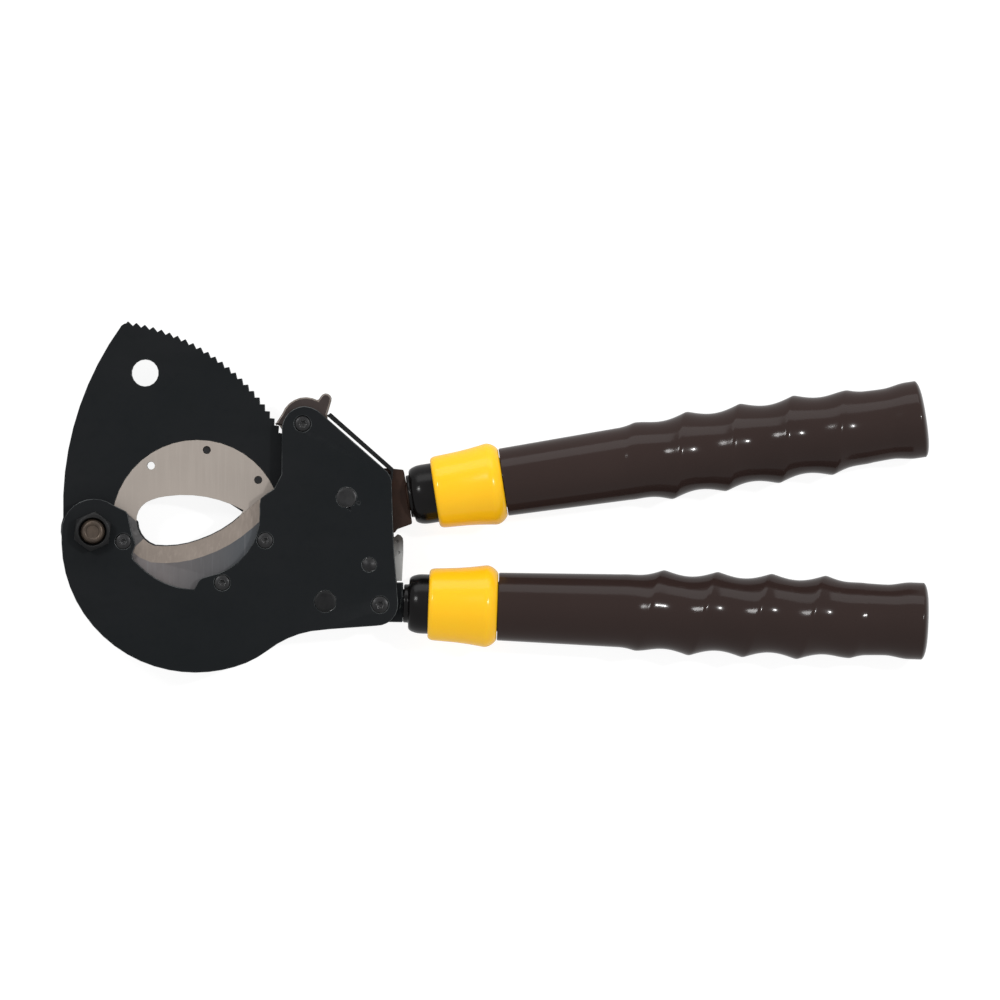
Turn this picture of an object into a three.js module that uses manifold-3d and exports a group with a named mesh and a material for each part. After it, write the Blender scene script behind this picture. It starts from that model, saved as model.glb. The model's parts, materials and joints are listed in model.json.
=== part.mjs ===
// Hand-operated ratchet cutter with a toothed moving blade and two long handles.
//
// The tool is drawn lying flat. The drawing frame has its origin on the blade pivot, halfway between
// the two frame plates: +X runs from the head to the handles, +Y towards the moving handle, and +Z
// out of the front plate. The last lines move the whole tool so that its origin is at the middle of
// its base. Lengths are in millimetres.

import * as THREE from 'three';
import { mergeVertices } from 'three/addons/utils/BufferGeometryUtils.js';
import Module from 'manifold-3d';

const wasm = await Module();
wasm.setup();

// ---------------------------------------------------------------------------------------------
// Driving dimensions
// ---------------------------------------------------------------------------------------------

const CHORD_ERROR = 0.12; // how far a facet may lie inside a true arc
const FIT = 0.15; // clearance round fixed fasteners and in the insert's pocket
const RUNNING = 0.2; // clearance round pins that turn

// Layers through the thickness
const PLATE_INNER = 6.5; // inner faces of the two frame plates
const PLATE_OUTER = 11.5; // outer faces of the two frame plates
const CORE = PLATE_INNER - 0.1; // what is clamped between the plates stops short of them
const BLADE_BACK = -5.7;
const BLADE_FRONT = 1.9;
const INSERT_BACK = -1.9;
const INSERT_FRONT = 2.1;
const FIXED_BLADE_BACK = 2.4;
const LEVER_BACK = -6.3;
const LEVER_FRONT = 3.1;
const FRONT_LAYER = [3.5, 6.1]; // thin pieces between the lever and the front plate

// Centres of the pins and screws that cross the frame, [x, y]
const BLADE_PIVOT = [0, 0];
const HANDLE_PIVOT = [126.55, 17.05];
const RELEASE_PIVOT = [104.65, 53.9];
const LATCH_PIVOT = [137.9, -16.55];
const DRIVE_PAWL_PIVOT = [125, 3];
const FRAME_RIVET = [115.95, -34.9];
const FRAME_SCREW = [143.35, -36.5];
const SPRING_PIN = [145.2, 27.4];
const LATCH_STUD = [146.8, 1.6];
const LATCH_NOTCH = [146.4, -3.47]; // where the stud lies in the catch when the handles are locked
const FIXED_BLADE_SCREWS = [[15.05, -4.9], [64.45, -25.55], [85.95, -4.45]];
const INSERT_SCREWS = [[56.5, 40.75], [82.25, 25.75]];
const INSERT_OPEN_HOLE = [28.55, 32.95];
const HOOK = [71.9, 6.2]; // where the insert's hook dips behind the fixed blade
const HANG_HOLE = { centre: [25.6, 79.35], radius: 6.65 };
const STAKE_MARKS = [[127.9, 11.25], [132.7, 14.25]]; // dimples below the handle pivot
const LATCH_DIMPLES = [[151.8, -4.9], [152.7, -10.5]];

const BOLT_RADIUS = 6;
const HANDLE_PIN_RADIUS = 4.85;
const RELEASE_SCREW_RADIUS = 2.9;
const LATCH_PIN_RADIUS = 3.4;
const PAWL_PIN_RADIUS = 2.5;
const RIVET_RADIUS = 5.2;
const FRAME_SCREW_RADIUS = 3;
const SPRING_PIN_RADIUS = 1.5;
const STUD_RADIUS = 1.2;
const BLADE_SCREW_RADIUS = 2;
const INSERT_SCREW_RADIUS = 1.8;
const BUSH_RADIUS = 7.95;

// Ratchet teeth on the moving blade
const TOOTH_PITCH = 360 / 155; // degrees
const FIRST_TOOTH = 80.8; // degrees, the tip nearest the blade's free corner
const TOOTH_COUNT = 40;
const TOOTH_TIP_RADIUS = 106.6;
const TOOTH_ROOT_RADIUS = 104.7;
const STEEP_FLANK = 0.35; // part of the pitch that the steep flank takes

// Handles: distances are taken along each handle's axis, which starts where the head ends.
// Each neck has a narrow nose of its own radius in front of its shoulder.
const MOVING_HANDLE = {
  origin: [158.8, 17.66], slope: 8.62, nose: { start: -1.3, radius: 10.6 }, shoulder: 0.4, gripEnd: 260.5,
  gripTurn: 180,
};
const FIXED_HANDLE = {
  origin: [155.55, -35.97], slope: -1.98, nose: { start: -0.6, radius: 9.6 }, shoulder: 2, gripEnd: 262.1,
  gripTurn: 0,
};
const SPIGOT_RADIUS = 7;
const SPIGOT_END = 44;
const TUBE = { start: 18, end: 255, outer: 12.5, inner: 10.5 };
const COLLAR = { start: 11.9, end: 46.4 };
const GRIP = { start: 46.7, bore: 12.8, boreEnd: 255.5 };
const THREAD = { pitch: 27, start: 108, end: 231, top: 129.2 }; // the ridge that winds round a grip
const CREST_RADIUS = 21.2; // the ridge at its highest, on which the tool rests
const GRIP_SIDES = 20;
const STATIONS_PER_TURN = 6;
const HANDLE_SIDES = 24;

// ---------------------------------------------------------------------------------------------
// Outlines in the plane of the plates
// ---------------------------------------------------------------------------------------------

const degrees = (value) => value * Math.PI / 180;
const polar = (radius, angle) => [radius * Math.cos(degrees(angle)), radius * Math.sin(degrees(angle))];

/** The number of facets that keeps an arc within the chord error. */
function facets(radius, sweep) {
  const widest = 2 * Math.acos(Math.max(0.7, 1 - CHORD_ERROR / radius));
  return Math.max(2, Math.ceil(Math.abs(sweep) / widest));
}

/** The centre of the circle through three points. */
function circleCentre(a, b, c) {
  const d = 2 * (a.x * (b.y - c.y) + b.x * (c.y - a.y) + c.x * (a.y - b.y));
  const [aa, bb, cc] = [a.lengthSq(), b.lengthSq(), c.lengthSq()];
  return new THREE.Vector2(
    (aa * (b.y - c.y) + bb * (c.y - a.y) + cc * (a.y - b.y)) / d,
    (aa * (c.x - b.x) + bb * (a.x - c.x) + cc * (b.x - a.x)) / d,
  );
}

/** A chain of straight runs and circular arcs. */
class Outline {
  constructor(x, y) {
    this.points = [new THREE.Vector2(x, y)];
  }

  /** Straight runs to each of the corners in turn. */
  line(...corners) {
    for (const [x, y] of corners) this.points.push(new THREE.Vector2(x, y));
    return this;
  }

  /** The circular arc from the last point, through a middle point, to an end. */
  arc(middle, end) {
    const [a, b, c] = [this.points.at(-1), new THREE.Vector2(...middle), new THREE.Vector2(...end)];
    const centre = circleCentre(a, b, c);
    const radius = centre.distanceTo(a);
    const from = a.clone().sub(centre).angle();
    const turn = Math.sign(b.clone().sub(a).cross(c.clone().sub(b)));
    const full = 2 * Math.PI;
    const sweep = turn * (((c.clone().sub(centre).angle() - from) * turn % full + full) % full);
    const steps = facets(radius, sweep);
    for (let i = 1; i < steps; i += 1) {
      const angle = from + sweep * i / steps;
      this.line([centre.x + radius * Math.cos(angle), centre.y + radius * Math.sin(angle)]);
    }
    this.points.push(c);
    return this;
  }
}

/** An open chain moved sideways, to its left when the distance is positive. */
function offsetChain(points, distance) {
  return points.map((point, i) => {
    const before = points[Math.max(0, i - 1)];
    const after = points[Math.min(points.length - 1, i + 1)];
    const along = after.clone().sub(before).normalize();
    return new THREE.Vector2(point.x - along.y * distance, point.y + along.x * distance);
  });
}

// ---------------------------------------------------------------------------------------------
// Solids
// ---------------------------------------------------------------------------------------------

/** A manifold solid from a closed geometry, whichever way its faces were wound. */
function solid(geometry) {
  geometry.deleteAttribute('normal');
  geometry.deleteAttribute('uv');
  const merged = mergeVertices(geometry, 1e-4);
  const position = merged.getAttribute('position');
  const index = Array.from(merged.getIndex().array);
  const triangles = [];
  const [a, b, c] = [new THREE.Vector3(), new THREE.Vector3(), new THREE.Vector3()];
  let volume = 0;
  for (let i = 0; i < index.length; i += 3) {
    const [p, q, r] = index.slice(i, i + 3);
    if (p === q || q === r || r === p) continue;
    triangles.push([p, q, r]);
    a.fromBufferAttribute(position, p);
    b.fromBufferAttribute(position, q);
    c.fromBufferAttribute(position, r);
    volume += a.dot(b.cross(c));
  }
  const wound = volume > 0 ? triangles : triangles.map(([p, q, r]) => [p, r, q]);
  return new wasm.Manifold(new wasm.Mesh({
    numProp: 3,
    vertProperties: Float32Array.from(position.array),
    triVerts: Uint32Array.from(wound.flat()),
  }));
}

/** A three.js geometry from a manifold solid. */
function geometryOf(shape) {
  const mesh = shape.getMesh();
  const geometry = new THREE.BufferGeometry();
  geometry.setAttribute('position', new THREE.BufferAttribute(mesh.vertProperties, 3));
  geometry.setIndex(new THREE.BufferAttribute(mesh.triVerts, 1));
  geometry.computeVertexNormals();
  return geometry;
}

/** A flat piece with a closed outline, between two heights. */
function slab(points, [low, high]) {
  const shape = new THREE.Shape(points);
  const geometry = new THREE.ExtrudeGeometry(shape, { depth: high - low, bevelEnabled: false });
  return solid(geometry.translate(0, 0, low));
}

/** A round bar along Z. */
function bar([x, y], radius, [low, high], sides = 2 * facets(radius, Math.PI)) {
  const geometry = new THREE.CylinderGeometry(radius, radius, high - low, Math.max(12, sides));
  return solid(geometry.rotateX(Math.PI / 2).translate(x, y, (low + high) / 2));
}

/** The cutter for a round hole whose flats lie at the given radius. */
function hole(centre, radius, range) {
  const sides = Math.max(12, 2 * facets(radius, Math.PI));
  return bar(centre, radius / Math.cos(Math.PI / sides), range, sides);
}

/** A ring along Z. */
function ring(centre, radius, bore, [low, high]) {
  return bar(centre, radius, [low, high]).subtract(hole(centre, bore, [low - 1, high + 1]));
}

/** A hexagonal prism along Z with chamfered corners, given by its width across the flats. */
function hexagon([x, y], flats, [low, high], turn = 0) {
  const corner = flats / Math.sqrt(3);
  const prism = new THREE.CylinderGeometry(corner, corner, high - low, 6);
  const rotated = prism.rotateX(Math.PI / 2).rotateZ(degrees(turn));
  const chamfer = corner - flats / 2;
  const profile = [[0, low], [flats / 2, low], [corner + 0.01, low + chamfer / 2],
    [corner + 0.01, high - chamfer / 2], [flats / 2, high], [0, high]];
  const blank = solid(rotated.translate(x, y, (low + high) / 2));
  return blank.intersect(turned(profile, 12).translate([x, y, 0]));
}

/** A turned piece along Z, from a profile of [radius, height]. */
function turned(profile, sides = HANDLE_SIDES) {
  const points = profile.map(([radius, height]) => new THREE.Vector2(radius, height));
  return solid(new THREE.LatheGeometry(points, sides).rotateX(Math.PI / 2));
}

/** A turned piece along a handle, from a profile of [radius, distance from the neck's front]. */
function turnedAlongHandle(profile) {
  const points = profile.map(([radius, along]) => new THREE.Vector2(radius, along));
  return solid(new THREE.LatheGeometry(points, HANDLE_SIDES).rotateZ(-Math.PI / 2));
}

/** A solid between two outlines with the same number of points, at two heights. */
function loft(lower, low, upper, high) {
  const caps = THREE.ShapeUtils.triangulateShape(lower, []);
  const count = lower.length;
  const positions = [];
  for (const point of lower) positions.push(point.x, point.y, low);
  for (const point of upper) positions.push(point.x, point.y, high);
  const index = [];
  const anticlockwise = !THREE.ShapeUtils.isClockWise(lower);
  for (const [a, b, c] of caps) {
    index.push(a, c, b);
    index.push(a + count, b + count, c + count);
  }
  for (let i = 0; i < count; i += 1) {
    const next = (i + 1) % count;
    const wall = [i, next, next + count, i, next + count, i + count];
    index.push(...(anticlockwise ? wall : wall.toReversed()));
  }
  const geometry = new THREE.BufferGeometry();
  geometry.setAttribute('position', new THREE.Float32BufferAttribute(positions, 3));
  geometry.setIndex(index);
  return solid(geometry);
}

/** Cuts every one of the tools out of a solid. */
function cut(shape, ...tools) {
  return tools.reduce((left, tool) => left.subtract(tool), shape);
}

// ---------------------------------------------------------------------------------------------
// The object's sub-parts
// ---------------------------------------------------------------------------------------------

const FINISHES = {
  blackened_plate: [0x1c2124, 0.5, 0.6],
  blackened_steel: [0x24282b, 0.45, 0.7],
  ground_steel: [0xa79f96, 0.35, 0.9],
  grey_steel: [0x74787b, 0.4, 0.85],
  brown_steel: [0x4a362c, 0.55, 0.5],
  fastener_steel: [0x4e5254, 0.4, 0.85],
  bolt_steel: [0x6d5f55, 0.4, 0.85],
  bronze: [0x9a7440, 0.45, 0.8],
  yellow_plastic: [0xf2b81c, 0.25, 0],
  brown_plastic: [0x33282a, 0.2, 0],
  black_plastic: [0x16161a, 0.25, 0],
};

const tool = new THREE.Group();

/** Adds one named piece in a finish to a group. */
function piece(name, shape, finish, group = tool) {
  const [color, roughness, metalness] = FINISHES[finish];
  const material = new THREE.MeshStandardMaterial({ color, roughness, metalness });
  const mesh = new THREE.Mesh(geometryOf(shape), material);
  mesh.name = name;
  group.add(mesh);
}

/** The outer edge that both frame plates share, from the pivot lobe round to the top of the mouth. */
function frameEdge() {
  return new Outline(10.2, 13.1)
    .arc([-2.5, 16.1], [-15.8, 0])
    .line([-15.8, -6])
    .arc([-11.5, -27.9], [-0.1, -47.1])
    .arc([17.1, -61.4], [37.8, -69.2])
    .arc([55, -70.4], [70.6, -67.7])
    .arc([79.4, -64.3], [87, -59.6])
    .arc([97.2, -53.4], [108.9, -49.8])
    .line([118, -48.8], [141.5, -47.1])
    .arc([149.3, -43.9], [152.4, -36])
    .line([150.2, -8], [149.2, 22.5])
    .arc([148.9, 26.4], [147, 29.8])
    .line([114.6, 58.3])
    .arc([110.6, 61.3], [105.6, 62.6])
    .arc([98, 59.5], [94.3, 51.7])
    .line([94.1, 28.5], [90.4, 21.3]);
}

/** The front plate's outline: its mouth shows the fixed blade and steps round its screws. */
function frontPlateOutline() {
  return frameEdge()
    .arc([86.5, 18.7], [83.7, 16.6])
    .line([83.1, 13.5], [83.2, 8.5])
    .arc([78.9, -7.5], [63.2, -20.7])
    .line([56, -22.7])
    .arc([53.2, -24.1], [51.9, -26.6])
    .line([50.4, -28.9], [47.5, -28.7])
    .arc([36.4, -26], [22.2, -16.1])
    .arc([19.6, -12.4], [20.2, -9.4])
    .line([21.3, -6.6])
    .arc([19.1, -0.3], [17.4, 8.6])
    .line([16.3, 10.1])
    .points;
}

/** The rear plate's outline: its mouth follows the fixed cutting edge and stands just proud of it. */
function rearPlateOutline() {
  return frameEdge()
    .line([83.2, 16.7], [81.6, 15.9], [73.7, 8.85])
    .arc([63.7, 1.35], [52, -3.95])
    .arc([42, -6.45], [30.5, -6.6])
    .arc([24.3, -2.2], [21.85, 5])
    .line([18.4, 8], [16.3, 10.1])
    .points;
}

function framePlates() {
  const through = [-PLATE_OUTER - 1, PLATE_OUTER + 1];
  const bores = [
    hole(BLADE_PIVOT, BOLT_RADIUS + FIT, through),
    hole(HANDLE_PIVOT, HANDLE_PIN_RADIUS + FIT, through),
    hole(RELEASE_PIVOT, RELEASE_SCREW_RADIUS + FIT, through),
    hole(LATCH_PIVOT, LATCH_PIN_RADIUS + FIT, through),
    hole(FRAME_RIVET, RIVET_RADIUS + FIT, through),
    hole(FRAME_SCREW, FRAME_SCREW_RADIUS + FIT, through),
  ];
  const counterbores = [
    hole(RELEASE_PIVOT, 4.1, [8, PLATE_OUTER + 1]),
    hole(FRAME_SCREW, 4.25, [8.4, PLATE_OUTER + 1]),
    hole(SPRING_PIN, SPRING_PIN_RADIUS + FIT, [PLATE_INNER - 1, 9.2]),
  ];
  for (const centre of FIXED_BLADE_SCREWS) {
    counterbores.push(hole(centre, BLADE_SCREW_RADIUS + FIT, [PLATE_INNER - 1, PLATE_OUTER + 1]));
    counterbores.push(hole(centre, 3.95, [8, PLATE_OUTER + 1]));
  }
  for (const centre of STAKE_MARKS) {
    counterbores.push(hole(centre, 0.75, [PLATE_OUTER - 0.7, PLATE_OUTER + 1]));
  }
  const front = slab(frontPlateOutline(), [PLATE_INNER, PLATE_OUTER]);
  const rear = slab(rearPlateOutline(), [-PLATE_OUTER, -PLATE_INNER]);
  piece('front_plate', cut(front, ...bores, ...counterbores), 'blackened_plate');
  piece('rear_plate', cut(rear, ...bores), 'blackened_plate');
}

/** The fixed blade's cutting edge, from its right end to its left end. */
function fixedEdge() {
  return new Outline(82, 15.4)
    .line([74, 8.35])
    .arc([64, 0.9], [52.25, -4.4])
    .arc([42, -6.9], [30.3, -7.1])
    .arc([23.9, -2.4], [21.4, 5]);
}

function fixedBlade() {
  const outline = fixedEdge()
    .line([15.2, 10.3], [9.4, 5])
    .arc([10.4, -2.3], [6.4, -8.5])
    .line([9, -14.5], [13.8, -16.5])
    .arc([47.3, -35.9], [77, -22.1])
    .line([91.5, -9], [91.5, 10], [86.5, 17.6])
    .points;
  const edge = fixedEdge().points;
  const roof = [new THREE.Vector2(10, 60), new THREE.Vector2(110, 60)];
  const bevelWidth = 8.5;
  const bevelFoot = FIXED_BLADE_BACK + 0.5;
  const bevelHead = offsetChain(edge, bevelWidth);
  const bevel = loft([...edge, ...roof], bevelFoot, [...bevelHead, ...roof], CORE + 0.01);
  const above = slab([...bevelHead, ...roof], [CORE, CORE + 1]);
  const screwHoles = FIXED_BLADE_SCREWS.map((centre) => (
    hole(centre, BLADE_SCREW_RADIUS + FIT, [FIXED_BLADE_BACK - 1, CORE + 1])));
  const blank = slab(outline, [FIXED_BLADE_BACK, CORE]);
  piece('fixed_blade', cut(blank, bevel, above, ...screwHoles), 'grey_steel');
  FIXED_BLADE_SCREWS.forEach(([x, y], i) => {
    const profile = [[0, 2.6], [BLADE_SCREW_RADIUS, 2.6], [BLADE_SCREW_RADIUS, 8.2], [3.75, 8.2],
      [3.75, 11.2], [3.35, 11.6], [1.7, 11.6], [1.7, 9.8], [0, 9.8]];
    piece(`fixed_blade_screw_${i + 1}`, turned(profile, 12).translate([x, y, 0]), 'fastener_steel');
  });
}

/** The moving blade's outer edge: free corner, ratchet teeth, hook, hub and curved back. */
function bladeOutline() {
  const outline = new Outline(13.75, 103).line([15.1, 103.95], [16.2, 104.25]);
  for (let tooth = 0; tooth < TOOTH_COUNT; tooth += 1) {
    const tip = FIRST_TOOTH - tooth * TOOTH_PITCH;
    outline.line(polar(TOOTH_TIP_RADIUS, tip));
    outline.line(polar(TOOTH_ROOT_RADIUS, tip - (1 - STEEP_FLANK) * TOOTH_PITCH));
  }
  return outline
    .line([101.7, -20.6], [90, -25], [14, -16])
    .line([11.31, -11.31])
    .arc([-8, -13.86], [-15.35, 7])
    .arc([-8.75, 57.6], [13.75, 103])
    .points
    .slice(0, -1);
}

/** The mouth cut into the moving blade behind its insert. */
function bladeMouth() {
  return new Outline(13.5, -30)
    .line([13.5, 9])
    .arc([17.5, 19], [28, 25.4])
    .arc([75, 9.4], [102.9, -24])
    .line([112, -60], [20, -60])
    .points;
}

/** The moving cutting edge, from the hook at its right end to the insert's left end. */
function movingEdge() {
  return new Outline(74.9, 10.62)
    .arc([57, 17.14], [36.3, 17.64])
    .arc([32.3, 16.95], [28.6, 15.7])
    .arc([23.4, 11.9], [21.35, 5]);
}

/** The crescent insert's outline, grown on its outer side to make the pocket that holds it. */
function insertOutline(growth = 0) {
  const onRim = (angle) => {
    const [x, y] = polar(42.7 + growth, angle);
    return [51.65 + x, 3.1 + y];
  };
  return new Outline(92.3, -6.6)
    .arc([83.4, 0.9], HOOK)
    .line(...movingEdge().points.map(({ x, y }) => [x, y]))
    .line([17.8, 1.6 - growth], [12 - growth, 4.8 - growth], onRim(172))
    .arc(onRim(90), onRim(-9))
    .points;
}

function movingBlade() {
  const pocket = slab(insertOutline(FIT), [INSERT_BACK - 0.1, BLADE_FRONT + 1]);
  const through = [BLADE_BACK - 1, INSERT_FRONT + 1];
  const screwHoles = INSERT_SCREWS.map((centre) => hole(centre, INSERT_SCREW_RADIUS + FIT, through));
  const screwHeads = INSERT_SCREWS.map((centre) => hole(centre, 3.4, [BLADE_BACK - 1, -3.6]));
  const openHole = hole(INSERT_OPEN_HOLE, INSERT_SCREW_RADIUS + FIT, through);
  const blank = slab(bladeOutline(), [BLADE_BACK, BLADE_FRONT]);
  const blade = cut(
    blank,
    slab(bladeMouth(), [BLADE_BACK - 1, BLADE_FRONT + 1]),
    pocket,
    hole(BLADE_PIVOT, BUSH_RADIUS + RUNNING, through),
    hole(HANG_HOLE.centre, HANG_HOLE.radius, through),
    openHole,
    ...screwHoles,
    ...screwHeads,
  );
  piece('moving_blade', blade, 'blackened_plate');

  const edge = movingEdge().points;
  const floor = [new THREE.Vector2(10, -60), new THREE.Vector2(60, -60), new THREE.Vector2(...HOOK)];
  const ground = offsetChain(edge, -5.5);
  const bevel = loft([...ground, ...floor], INSERT_BACK - 0.01, [...edge, ...floor], INSERT_FRONT - 0.6);
  const insert = slab(insertOutline(), [INSERT_BACK, INSERT_FRONT]);
  piece('blade_insert', cut(insert, bevel, openHole, ...screwHoles), 'ground_steel');
  INSERT_SCREWS.forEach(([x, y], i) => {
    const profile = [[0, BLADE_BACK + 0.1], [3.2, BLADE_BACK + 0.1], [3.2, -3.8],
      [INSERT_SCREW_RADIUS, -3.8], [INSERT_SCREW_RADIUS, 1.3], [0, 1.3]];
    piece(`insert_screw_${i + 1}`, turned(profile, 12).translate([x, y, 0]), 'fastener_steel');
  });
}

function bladePivot() {
  const washer = 1.6;
  const rearFace = -PLATE_OUTER - 0.1;
  const head = hexagon(BLADE_PIVOT, 17.4, [-CREST_RADIUS, rearFace - washer - 0.1], 11);
  const shank = turned([[0, rearFace - washer - 1], [BOLT_RADIUS, rearFace - washer - 1],
    [BOLT_RADIUS, 17.8], [BOLT_RADIUS - 0.9, 18.7], [3.4, 18.7], [3.1, 18.2], [0, 18.2]]);
  piece('pivot_bolt', head.add(shank), 'bolt_steel');
  piece('pivot_bolt_washer',
    ring(BLADE_PIVOT, 11.5, BOLT_RADIUS + FIT, [rearFace - washer, rearFace]), 'blackened_steel');
  const nut = hexagon(BLADE_PIVOT, 17.4, [PLATE_OUTER + 0.1, 18], 23);
  const countersink = turned([[0, 16.2], [BOLT_RADIUS + FIT, 16.2], [7.1, 18.1], [0, 18.1]]);
  piece('pivot_nut',
    cut(nut, hole(BLADE_PIVOT, BOLT_RADIUS + FIT, [10, 20]), countersink), 'blackened_steel');
  piece('blade_bush',
    ring(BLADE_PIVOT, BUSH_RADIUS, BOLT_RADIUS + FIT, [BLADE_BACK, BLADE_FRONT]), 'bronze');
  piece('front_thrust_washer',
    ring(BLADE_PIVOT, 9.5, BOLT_RADIUS + FIT, [BLADE_FRONT + 0.1, CORE]), 'bronze');
  piece('rear_thrust_washer',
    ring(BLADE_PIVOT, 14, BOLT_RADIUS + FIT, [-CORE, BLADE_BACK - 0.1]), 'bronze');
}

/** The pawl that holds the blade: a round head, a nose in the teeth and a thumb tab. */
function releasePawl() {
  const outline = new Outline(94.3, 59)
    .line([90.95, 53.8], [91.1, 53.5], [92.75, 53.15], [94.3, 50.6], [95.4, 48.9], [97.5, 47])
    .arc([106, 43.3], [115.8, 48.5])
    .line([117, 53], [116.8, 58.9], [117.6, 61.3], [118.75, 65.3])
    .arc([116.9, 69], [113.7, 67.8])
    .line([112.2, 65.6])
    .arc([104.3, 67.1], [94.3, 59])
    .points
    .slice(0, -1);
  const blank = slab(outline, [-6, 3.2]);
  piece('release_pawl',
    blank.subtract(hole(RELEASE_PIVOT, RELEASE_SCREW_RADIUS + RUNNING, [-8, 8])), 'brown_steel');
  const profile = [[0, -11.4], [RELEASE_SCREW_RADIUS, -11.4], [RELEASE_SCREW_RADIUS, 8.2], [3.9, 8.2],
    [3.9, 10.8], [1.9, 10.8], [1.9, 9.4], [0, 9.4]];
  piece('release_pawl_screw',
    turned(profile, 12).translate([...RELEASE_PIVOT, 0]), 'fastener_steel');
  piece('release_washer',
    ring(RELEASE_PIVOT, 6, RELEASE_SCREW_RADIUS + FIT, [3.4, CORE]), 'bronze');
}

/** The flat spring above the frame's slope, with the foot that is pinned to the front plate. */
function releaseSpring() {
  const outline = [[116.6, 57.9], [142.4, 35.4], [141.8, 29.6], [142.3, 25.4], [149.4, 25], [150, 31.6],
    [118.6, 59.35]];
  const strip = slab(new Outline(...outline[0]).line(...outline.slice(1)).points, FRONT_LAYER);
  const gap = new Outline(116, 54.5).line([146.8, 28.6], [148.5, 28.3], [148.7, 29.85], outline[0]);
  const relief = slab(gap.points, [FRONT_LAYER[0] - 1, FRONT_LAYER[1] + 1]);
  const pinHole = hole(SPRING_PIN, SPRING_PIN_RADIUS + FIT, [0, 10]);
  piece('release_spring', strip.subtract(relief).subtract(pinHole), 'blackened_steel');
  piece('spring_pin', bar(SPRING_PIN, SPRING_PIN_RADIUS, [FRONT_LAYER[0] - 0.1, 9]), 'fastener_steel');
}

/** The catch that swings over a stud on the lever and locks the handles together when closed. */
function handleLatch() {
  const outline = new Outline(131.4, -16.55)
    .arc([133.3, -21.15], [137.9, -23.05])
    .line([150.5, -24.7], [154.2, -24.7], [154.9, -11], [154.9, -5])
    .arc([153.9, -2.2], [152, -1.3])
    .line([150.5, -2.8])
    .arc([148.9, -1.4], [146.8, -0.1])
    .line([144.3, -4.7], [138, -10])
    .arc([133.3, -11.95], [131.4, -16.55])
    .points
    .slice(0, -1);
  const mouth = [[147.22, -2.21], [142.19, 1.06], [140.55, -1.46], [145.58, -4.73]];
  const notch = slab(mouth.map(([x, y]) => new THREE.Vector2(x, y)), [0, 10])
    .add(bar(LATCH_NOTCH, 1.5, [0, 10]));
  const dimples = LATCH_DIMPLES.map((centre) => hole(centre, 0.55, [FRONT_LAYER[1] - 0.6, 10]));
  const bore = hole(LATCH_PIVOT, LATCH_PIN_RADIUS + RUNNING, [0, 10]);
  piece('handle_latch', cut(slab(outline, FRONT_LAYER), notch, bore, ...dimples), 'grey_steel');
  const pin = [[0, -11.4], [LATCH_PIN_RADIUS, -11.4], [LATCH_PIN_RADIUS, 11.5], [2.4, 12], [0, 12.2]];
  piece('latch_pin', turned(pin, 12).translate([...LATCH_PIVOT, 0]), 'fastener_steel');
}

function frameFasteners() {
  piece('frame_rivet', bar(FRAME_RIVET, RIVET_RADIUS, [-11.4, 11.45]), 'blackened_steel');
  const screw = [[0, -17], [FRAME_SCREW_RADIUS, -17], [FRAME_SCREW_RADIUS, 8.6], [4.1, 8.6],
    [4.1, 11.3], [3.7, 11.6], [2, 11.6], [2, 10.4], [0, 10.4]];
  piece('frame_screw', turned(screw, 12).translate([...FRAME_SCREW, 0]), 'fastener_steel');
  const nut = hexagon(FRAME_SCREW, 10, [-16.4, -PLATE_OUTER - 0.1]);
  const bore = hole(FRAME_SCREW, FRAME_SCREW_RADIUS + FIT, [-20, 0]);
  piece('frame_nut', nut.subtract(bore), 'fastener_steel');
  piece('handle_pivot_pin', bar(HANDLE_PIVOT, HANDLE_PIN_RADIUS, [-11.5, 11.65]), 'fastener_steel');
  piece('lever_washer',
    ring(HANDLE_PIVOT, 8, HANDLE_PIN_RADIUS + FIT, [LEVER_FRONT + 0.2, CORE]), 'bronze');
}

// --- Handles -----------------------------------------------------------------------------------

/** Carries a solid drawn along a handle's own axis to that handle's place. */
function toHandle(shape, { origin, slope }) {
  return shape.rotate([0, 0, slope]).translate([...origin, 0]);
}

/** The round end of a bar or lever, which the neck and the tube are built on. */
function spigot(handle) {
  const profile = [[0, -2.2], [SPIGOT_RADIUS, -2.2], [SPIGOT_RADIUS, SPIGOT_END], [0, SPIGOT_END]];
  return toHandle(turnedAlongHandle(profile), handle);
}

function fixedBar() {
  const outline = new Outline(108, -29.3)
    .arc([111.4, -26.2], [116, -25.3])
    .line([154.8, -25.5], [154.5, -45.4], [116, -44.8])
    .arc([106.3, -36.8], [108, -29.3])
    .points
    .slice(0, -1);
  const blank = slab(outline, [-CORE + 0.1, CORE - 0.1]);
  const through = [-10, 10];
  const bores = [
    hole(FRAME_RIVET, RIVET_RADIUS + FIT, through),
    hole(FRAME_SCREW, FRAME_SCREW_RADIUS + FIT, through),
  ];
  piece('fixed_handle_bar', cut(blank, ...bores).add(spigot(FIXED_HANDLE)), 'blackened_plate');
}

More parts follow.
